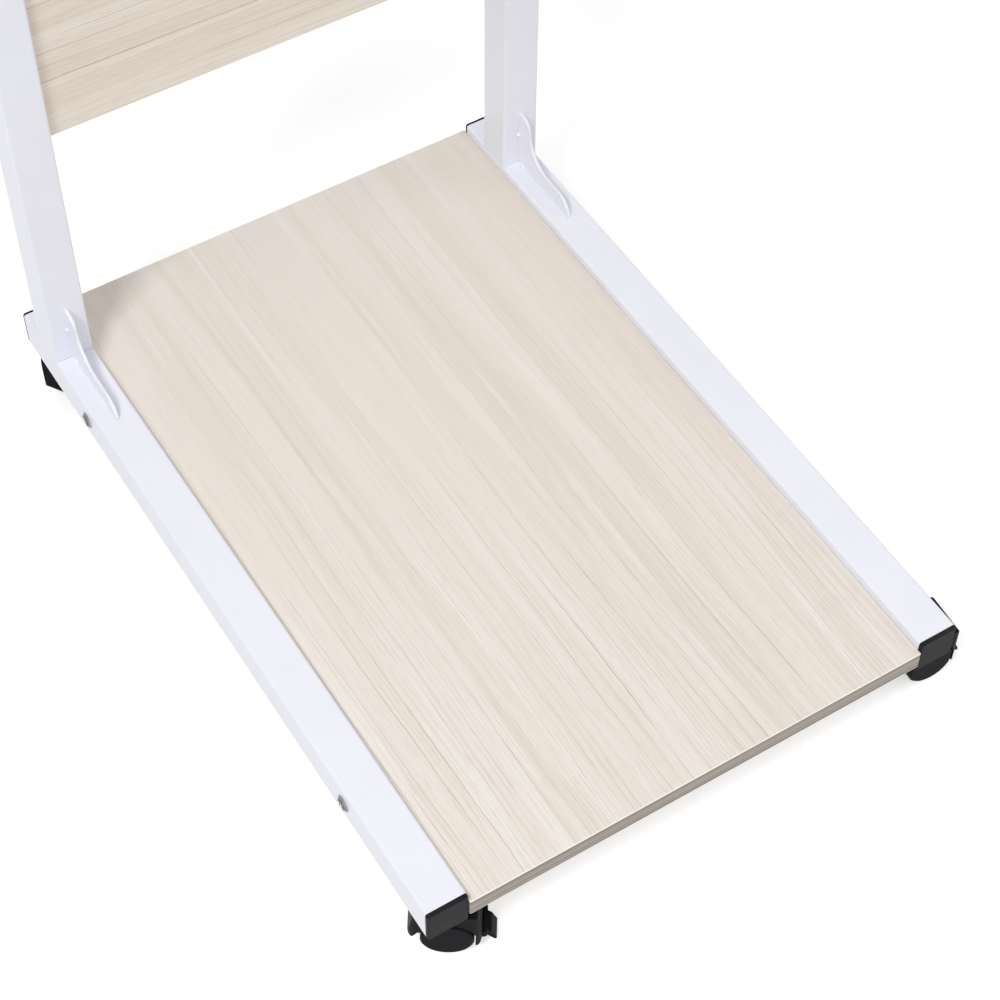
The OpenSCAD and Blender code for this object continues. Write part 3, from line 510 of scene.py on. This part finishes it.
def bandColour(tree, spot, axes, seed, sample):
    # darker stripes along the band; the glue line is where the distance from the board's middle plane is
    # its half thickness less the glue's depth
    along, across, thick = axes
    middle, halfThick = middleOf(sample, thick), halfOf(sample, thick)
    band = joinAxes(tree, mathNode(tree, "ADD", spot[along], spot[across]), spot[thick], seed)
    wide = noiseAt(tree, band, *edgeBand["wideNoise"])
    fine = noiseAt(tree, band, *edgeBand["fineNoise"])
    stripes = rampAt(tree, wide, *edgeBand["stripes"])
    colour = blendColour(tree, stripes, laminate["bandDark"], laminate["bandLight"])
    colour = blendColour(tree, rampAt(tree, fine, *edgeBand["dark"]), colour, laminate["bandDark"])
    colour = blendColour(tree, rampAt(tree, fine, *edgeBand["light"]), colour, laminate["bandLight"])
    deep = apart(tree, spot[thick], middle)
    glue = rampAt(tree, apart(tree, deep, halfThick - edgeBand["glueDepth"]), *edgeBand["glue"])
    colour = blendColour(tree, glue, colour, laminate["glue"])
    # the pale lip under the face: the laminate's pale top layer, brightened as a painted highlight
    lipStart, lipEnd = (halfThick - depth for depth in edgeBand["lip"])
    lip = rampAt(tree, deep, lipStart, lipEnd, 0.0, edgeBand["lipShare"])
    return blendColour(tree, lip, colour, laminate["rim"])


def oakMaterial(name, axes, seed, sample, warm, crisp):
    # faces carry the print along one direction, and the edge band has its own stripes
    material, tree, shader, place = startMaterial(name)
    along, across, thick = axes
    spot = splitAxes(tree, place["Object"])
    upright = mathNode(tree, "ABSOLUTE", splitAxes(tree, place["Normal"])[thick])
    isBand = rampAt(tree, upright, *facing["band"])
    isRim = times(tree, rampAt(tree, upright, *facing["rimStart"]), rampAt(tree, upright, *facing["rimEnd"]))
    oak = useGroup(tree, oakPrint, {"Along": spot[along], "Across": spot[across], "Seed": seed,
                                    "Crisp": rampAt(tree, spot[along], *crisp)}).outputs
    colour = blendColour(tree, isBand, oak["Color"], bandColour(tree, spot, axes, seed, sample))
    # the rounded rim gets the same pale colour: partly the laminate's top layer, partly a painted highlight
    colour = blendColour(tree, times(tree, isRim, edgeBand["rimShare"]), colour, laminate["rim"])
    colour = blendColour(tree, warm, colour, laminate["warmth"], "MULTIPLY")
    skin = addSkin(tree, place, boardFinish)
    rub = addRub(tree, place, boardFinish)
    rough = timesPlus(tree, oak["Lines"], boardFinish["lineRough"], boardFinish["rough"])
    rough = timesPlus(tree, skin["Mottle"], boardFinish["mottleRough"], rough)
    height = times(tree, oak["Lines"], boardFinish["lineDepth"])
    height = timesPlus(tree, oak["Pores"], boardFinish["poreDepth"], height)
    height = timesPlus(tree, skin["Texture"], boardFinish["textureDepth"], height)
    normal = bumpOf(tree, height, boardFinish["bump"], rub["Round Normal"])
    joinTo(tree, shader, colour=colour, rough=rough, normal=normal)
    return material


# powder coat: colours, sizes in metres, shares, and a painted shadow line at the seam where an upright
# stands on its rail, with its half widths and the places along X between which it comes in
steelPaint = {
    "colour": (0.850, 0.860, 0.938, 1.0), "shade": (0.820, 0.828, 0.895, 1.0),
    "worn": (0.600, 0.605, 0.640, 1.0), "seamShadow": (0.330, 0.330, 0.345, 1.0),
    "grainSize": 0.0016, "speckSize": 0.012, "speckShare": 0.012, "edge": 0.0008, "rubbed": 0.22,
    "shadeLevels": (0.60, 0.35, 0.0, 0.5), "specks": 0.35,
    "seamShadowWidth": (0.0005, 0.0002), "seamShadowFade": (-0.206, -0.199, 0.0, 0.62),
    "rough": 0.26, "mottleRough": 0.16, "bump": (0.12, 0.00012), "coat": 0.15, "coatRough": 0.2,
}


def steelMaterial(name, seamShadowHeight=None):
    # satin powder coat with orange peel; a painted shadow line where a tube stands on another
    material, tree, shader, place = startMaterial(name)
    skin = addSkin(tree, place, steelPaint)
    rub = addRub(tree, place, steelPaint)
    shade = rampAt(tree, skin["Mottle"], *steelPaint["shadeLevels"])
    colour = blendColour(tree, shade, steelPaint["colour"], steelPaint["shade"])
    colour = blendColour(tree, rub["Mask"], colour, steelPaint["worn"])
    colour = blendColour(tree, times(tree, skin["Specks"], steelPaint["specks"]), colour, steelPaint["worn"])
    # painted shadow line in the crease where the upright meets the rail's top
    if seamShadowHeight is not None:
        spot = splitAxes(tree, place["Object"])
        line = rampAt(tree, apart(tree, spot[2], seamShadowHeight), *steelPaint["seamShadowWidth"])
        line = times(tree, line, rampAt(tree, spot[0], *steelPaint["seamShadowFade"]))
        colour = blendColour(tree, line, colour, steelPaint["seamShadow"])
    rough = timesPlus(tree, skin["Mottle"], steelPaint["mottleRough"], steelPaint["rough"])
    normal = bumpOf(tree, skin["Texture"], steelPaint["bump"], rub["Round Normal"])
    joinTo(tree, shader, colour=colour, rough=rough, normal=normal, coat=steelPaint["coat"],
           coatRough=steelPaint["coatRough"])
    return material


# moulded plastics: colour and its worn tone, roughness, texture's size in metres and strength, shares of
# rubbed edges and of dust, and shine
plastics = {
    "plugPlastic": {"colour": (0.012, 0.012, 0.014, 1.0), "worn": (0.038, 0.038, 0.041, 1.0), "rough": 0.52,
                    "grainSize": 0.0008, "texture": 0.45, "rubbed": 0.35, "dust": 0.06, "shine": 0.08},
    "knobPlastic": {"colour": (0.014, 0.014, 0.015, 1.0), "worn": (0.034, 0.034, 0.035, 1.0), "rough": 0.38,
                    "grainSize": 0.0006, "texture": 0.35, "rubbed": 0.4, "dust": 0.05, "shine": 0.22},
    "casterPlastic": {"colour": (0.004, 0.004, 0.006, 1.0), "worn": (0.013, 0.013, 0.015, 1.0), "rough": 0.42,
                      "grainSize": 0.0009, "texture": 0.20, "rubbed": 0.35, "dust": 0.01, "shine": 0.03},
    "wheelPlastic": {"colour": (0.006, 0.006, 0.008, 1.0), "worn": (0.017, 0.017, 0.019, 1.0), "rough": 0.52,
                     "grainSize": 0.0009, "texture": 0.30, "rubbed": 0.4, "dust": 0.02, "shine": 0.04},
}
# what all of them share: specks, edge and bump distance in metres, levels of tone and dust, roughness
moulding = {
    "speckSize": 0.006, "speckShare": 0.10, "edge": 0.0006, "dustColour": (0.34, 0.33, 0.32, 1.0),
    "toneLevels": (0.35, 0.70, 0.0, 0.6), "dustLevels": (0.50, 0.75), "mottleRough": 0.22, "deep": 0.0001,
}


def plasticMaterial(name, spec):
    # moulded plastic: fine eroded texture, lighter rubbed edges and a little dust; the mottle's part in the
    # roughness is centred on the plastic's own value
    material, tree, shader, place = startMaterial(name)
    skin = addSkin(tree, place, moulding | spec)
    rub = addRub(tree, place, moulding | spec)
    tone = rampAt(tree, skin["Mottle"], *moulding["toneLevels"])
    colour = blendColour(tree, tone, spec["colour"], spec["worn"])
    colour = blendColour(tree, rub["Mask"], colour, spec["worn"])
    dust = times(tree, rampAt(tree, skin["Mottle"], *moulding["dustLevels"]), spec["dust"])
    dust = mathNode(tree, "MAXIMUM", dust, times(tree, skin["Specks"], spec["dust"]))
    colour = blendColour(tree, dust, colour, moulding["dustColour"])
    least = spec["rough"] - moulding["mottleRough"] / 2
    rough = timesPlus(tree, skin["Mottle"], moulding["mottleRough"], least)
    normal = bumpOf(tree, skin["Texture"], (spec["texture"], moulding["deep"]), rub["Round Normal"])
    joinTo(tree, shader, colour=colour, rough=rough, normal=normal, shine=spec["shine"])
    return material


# the heads that hold the shelf lie along X: their radius, and their axes' distance from the middle and height
headRadius = halfOf("base_board_screws", 2)
headAxes = (round(boxOf("base_board_screws")[1][1] - headRadius, 4), middleOf("base_board_screws", 2))
# platings: tint, how strongly brushed, and the screw heads' axes
platings = {
    "darkNickel": {"tint": (0.26, 0.27, 0.28, 1.0), "brushed": 0.6, "headAxes": headAxes},
    "brightZinc": {"tint": (0.62, 0.63, 0.645, 1.0), "brushed": 1.2, "headAxes": None},
}
# what both share: colours, noises and their levels, shares of specks and rubbed edges, sizes in metres,
# roughness, bump, and the radii of a screw head's painted dark reflection ring and of the painted highlight
# in its middle
plating = {
    "cloud": (0.50, 0.485, 0.44, 1.0), "speck": (0.22, 0.21, 0.20, 1.0), "rub": (0.78, 0.78, 0.77, 1.0),
    "darkReflection": (0.10, 0.10, 0.11, 1.0), "glint": (0.95, 0.95, 0.95, 1.0),
    "grainSize": 0.0007, "speckSize": 0.003, "speckShare": 0.12, "edge": 0.0004, "rubbed": 0.6,
    "cloudNoise": ((160.0, 160.0, 160.0), 3.0, 0.6), "cloudLevels": (0.40, 0.70, 0.0, 0.6), "specks": 0.5,
    "lineNoise": ((300.0, 5200.0, 300.0), 2.0), "rough": 0.20, "cloudRough": 0.25, "bump": (0.15, 0.00006),
    "darkReflectionRadii": (0.0060, 0.0040, 0.0, 0.78), "glintRadii": (0.0031, 0.0023),
}


def zincMaterial(name, tint, brushed, headAxes):
    # plated steel: cool grey with faint yellow clouds, brushed lines and darker specks; on screw heads a
    # painted dark reflection ring and a painted highlight in the middle go by radius, the root of the squared
    # distances from their axes
    material, tree, shader, place = startMaterial(name)
    skin = addSkin(tree, place, plating)
    rub = addRub(tree, place, plating)
    clouds = noiseAt(tree, place["Object"], *plating["cloudNoise"])
    colour = blendColour(tree, rampAt(tree, clouds, *plating["cloudLevels"]), tint, plating["cloud"])
    colour = blendColour(tree, times(tree, skin["Specks"], plating["specks"]), colour, plating["speck"])
    colour = blendColour(tree, rub["Mask"], colour, plating["rub"])
    if headAxes is not None:
        spot = splitAxes(tree, place["Object"])
        sideways = mathNode(tree, "SUBTRACT", mathNode(tree, "ABSOLUTE", spot[1]), headAxes[0])
        level = mathNode(tree, "SUBTRACT", spot[2], headAxes[1])
        square = timesPlus(tree, sideways, sideways, times(tree, level, level))
        radius = mathNode(tree, "SQRT", square)
        # painted dark reflection ring round each screw head, then a painted highlight (glint) in its middle
        colour = blendColour(tree, rampAt(tree, radius, *plating["darkReflectionRadii"]), colour, plating["darkReflection"])
        colour = blendColour(tree, rampAt(tree, radius, *plating["glintRadii"]), colour, plating["glint"])
    lines = noiseAt(tree, place["Object"], *plating["lineNoise"])
    height = timesPlus(tree, lines, brushed, skin["Texture"])
    rough = timesPlus(tree, clouds, plating["cloudRough"], plating["rough"])
    normal = bumpOf(tree, height, plating["bump"], rub["Round Normal"])
    joinTo(tree, shader, colour=colour, rough=rough, normal=normal, metal=1.0)
    return material


railTop = boxOf("right_base_rail")[1][2]  # where the uprights stand
materials = {name: oakMaterial(name, **spec) for name, spec in boards.items()}
materials["whiteSteel"] = steelMaterial("whiteSteel")
# the left upright's coat carries the painted shadow line at the rail's top
materials["whiteUpright"] = steelMaterial("whiteUpright", railTop)
materials.update({name: plasticMaterial(name, spec) for name, spec in plastics.items()})
materials.update({name: zincMaterial(name, **spec) for name, spec in platings.items()})
# each slot of the record has a finish, and a few nodes have their own
finishes = {
    "white_steel": "whiteSteel", "board_laminate": "oakTop", "black_plastic": "plugPlastic",
    "knob_plastic": "knobPlastic", "zinc_steel": "brightZinc", "caster_plastic": "casterPlastic",
    "wheel_plastic": "wheelPlastic",
}
special = {
    "base_board": "oakShelf", "back_panel": "oakPanel", "left_upright": "whiteUpright",
    "base_board_screws": "darkNickel",
}
slotOf = {part["node"]: part["material_slot"] for part in frame["record"]["subparts"]}
for nodeName, node in nodes.items():
    chosen = materials[special.get(nodeName) or finishes[slotOf[nodeName]]]
    for slot in node.material_slots:
        slot.material = chosen
print("materials given to", len(nodes), "nodes")


def addPiece(name, points, faces, material, body):
    # puts a finished mesh into the scene on its body
    mesh = bpy.data.meshes.new(name)
    mesh.from_pydata(points.tolist(), [], faces)
    mesh.polygons.foreach_set("use_smooth", np.ones(len(mesh.polygons), dtype=bool))
    mesh.materials.append(materials[material])
    mesh.update()
    piece = bpy.data.objects.new(name, mesh)
    scene.collection.objects.link(piece)
    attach(piece, body)
    return piece


# weld beads: the ripples' height, pitch and slow change, the points round a bead, the rings' step and least
# number, how far a bead sinks into its tube, the first seed, and a direction that no bead runs along
weld = {"ripple": 0.16, "pitch": 0.0026, "waver": 0.6, "waverRate": 9, "swell": 0.12, "swellRate": 5,
        "around": 12, "step": 0.0004, "leastRings": 12, "sink": 0.0002, "seed": 11,
        "aside": (0.31, 0.52, 0.79)}


def beadMesh(start, end, radius, seed):
    # tube round a line: point = line point + r(s) times the circle, where r(s) swells once for each ripple
    # and falls at both ends as the square root of the distance to them, down to one point
    start, end = np.array(start), np.array(end)
    length = np.linalg.norm(end - start)
    count = max(weld["leastRings"], int(length / weld["step"]))
    s = np.linspace(0.0, 1.0, count)[1:-1]
    phase = np.random.default_rng(seed).uniform(0.0, 2 * np.pi, 2)
    waver = weld["waver"] * np.sin(weld["waverRate"] * s + phase[0])
    swell = 1 + weld["ripple"] * np.sin(2 * np.pi * s * length / weld["pitch"] + waver)
    swell *= 1 + weld["swell"] * np.sin(weld["swellRate"] * s + phase[1])
    r = radius * swell * np.sqrt(np.clip(np.minimum(s, 1 - s) * length / radius, 0.0, 1.0))
    along = (end - start) / length
    side = np.cross(along, weld["aside"])
    side /= np.linalg.norm(side)
    up = np.cross(along, side)
    turn = np.linspace(0, 2 * np.pi, weld["around"], endpoint=False)
    ring = np.cos(turn)[:, None] * side + np.sin(turn)[:, None] * up
    line = start + s[:, None] * (end - start)
    tube = (line[:, None, :] + r[:, None, None] * ring).reshape(-1, 3)
    return np.concatenate([[start], tube, [end]]), len(s)


def tubeFaces(base, rings, around):
    # quads between rings, and a fan of triangles from each end point
    i, j = np.meshgrid(np.arange(rings - 1), np.arange(around), indexing="ij")
    a = base + 1 + i * around + j
    b = base + 1 + i * around + (j + 1) % around
    quads = np.stack([a, b, b + around, a + around], -1).reshape(-1, 4).tolist()
    j = np.arange(around)
    last = base + 1 + (rings - 1) * around
    first = np.stack([np.full(around, base), base + 1 + (j + 1) % around, base + 1 + j], -1).tolist()
    final = np.stack([last + j, last + (j + 1) % around, np.full(around, last + around)], -1).tolist()
    return quads + first + final


def addBeads(name, runs, body):
    # one piece from many weld runs, each given as start, end and radius
    points, faces, base = [], [], 0
    for k, (start, end, radius) in enumerate(runs):
        spots, rings = beadMesh(start, end, radius, weld["seed"] + k)
        faces += tubeFaces(base, rings, weld["around"])
        points.append(spots)
        base += len(spots)
    return addPiece(name, np.concatenate(points), faces, "whiteSteel", body)


# places from the frame: middle lines and half widths of the tubes, heights of the joints, in metres
railX, halfTube = middleOf("right_base_rail", 0), halfOf("right_base_rail", 0)
postY = middleOf("right_upright", 1)
armUnder = boxOf("right_arm")[0][2]
barYs = [middleOf(name, 1) for name in ("front_cross_bar", "middle_cross_bar")]
barSide = round(halfTube - weld["sink"], 5)
postSide = round(halfOf("right_inner_post", 0) - weld["sink"], 5)
plateSide = halfOf("right_foot_gusset", 0)
tabYs = [corner[1] for corner in boxOf("panel_tabs")]
panelUnder = boxOf("back_panel")[0][2]

# stitches beside a gusset, from the corner that it fills: start and end as (y, z), and radius, in metres
footStitches = [
    ((0.0, 0.026), (0.0, 0.031), 0.0017),
    ((-0.003, 0.0), (-0.009, 0.0), 0.0018),
    ((-0.046, 0.0), (-0.051, 0.0), 0.0014),
]
topStitches = [
    ((0.0, -0.024), (0.0, -0.036), 0.0019),
    ((-0.004, 0.0), (-0.018, 0.0), 0.0022),
    ((-0.044, 0.0), (-0.056, 0.0), 0.0018),
]
# the other stitches: half lengths or the two ends, clear distances, and radii, in metres
stitch = {
    "footHalf": 0.011, "footRadius": 0.0022,
    "postInset": 0.003, "postHalf": 0.009, "postRadius": 0.0021,
    "barRise": (0.003, 0.024), "barHalf": 0.012, "barRadius": 0.0018,
    "tabHeights": (0.032, 0.168), "tabClear": 0.0006, "tabRuns": ((-0.011, -0.002), (0.003, 0.011)),
    "tabRadius": 0.0011,
}


def gussetRuns(x, corner, stitches):
    # the stitches on one face of a gusset, which lies at x
    y, z = corner
    return [((x, y + y1, z + z1), (x, y + y2, z + z2), radius) for (y1, z1), (y2, z2), radius in stitches]


def footRuns():
    # short stitches beside each gusset and behind the foot of each post
    runs = []
    for side in (-1, 1):
        for face in (-1, 1):
            runs += gussetRuns(side * railX + face * plateSide, (postY - halfTube, railTop), footStitches)
        left, right = side * railX - stitch["footHalf"], side * railX + stitch["footHalf"]
        y = postY + halfTube
        runs.append(((left, y, railTop), (right, y, railTop), stitch["footRadius"]))
    return runs


def topRuns():
    # stitches round the inner posts, the upper gussets and the ends of the cross bars
    runs = []
    front, back = postY - postSide, postY + postSide
    low, high = (armUnder + rise for rise in stitch["barRise"])
    for side in (-1, 1):
        for face in (-1, 1):
            runs += gussetRuns(side * railX + face * plateSide, (front, armUnder), topStitches)
            x, inset = side * railX + face * postSide, stitch["postInset"]
            runs.append(((x, front + inset, armUnder), (x, back - inset, armUnder), stitch["postRadius"]))
        left, right = side * railX - stitch["postHalf"], side * railX + stitch["postHalf"]
        runs.append(((left, back, armUnder), (right, back, armUnder), stitch["postRadius"]))
        x, z = side * (railX - halfTube), armUnder + weld["sink"]
        for y in barYs:
            for edge in (y - barSide, y + barSide):
                runs.append(((x, edge, low), (x, edge, high), stitch["barRadius"]))
            near, far = y - stitch["barHalf"], y + stitch["barHalf"]
            runs.append(((x, near, z), (x, far, z), stitch["barRadius"]))
    return runs


def tabRuns():
    # stitches that hold the panel's tabs to the inner faces of the uprights
    runs = []
    for side in (-1, 1):
        x = side * (railX - halfTube - stitch["tabClear"])
        for height in stitch["tabHeights"]:
            z = panelUnder + height
            for y in tabYs:
                runs += [((x, y, z + low), (x, y, z + high), stitch["tabRadius"])
                         for low, high in stitch["tabRuns"]]
    return runs


addBeads("foot_welds", footRuns(), "base_frame")
addBeads("tab_welds", tabRuns(), "base_frame")
addBeads("top_welds", topRuns(), "top_frame")
print("welds laid")

print("scene ready")
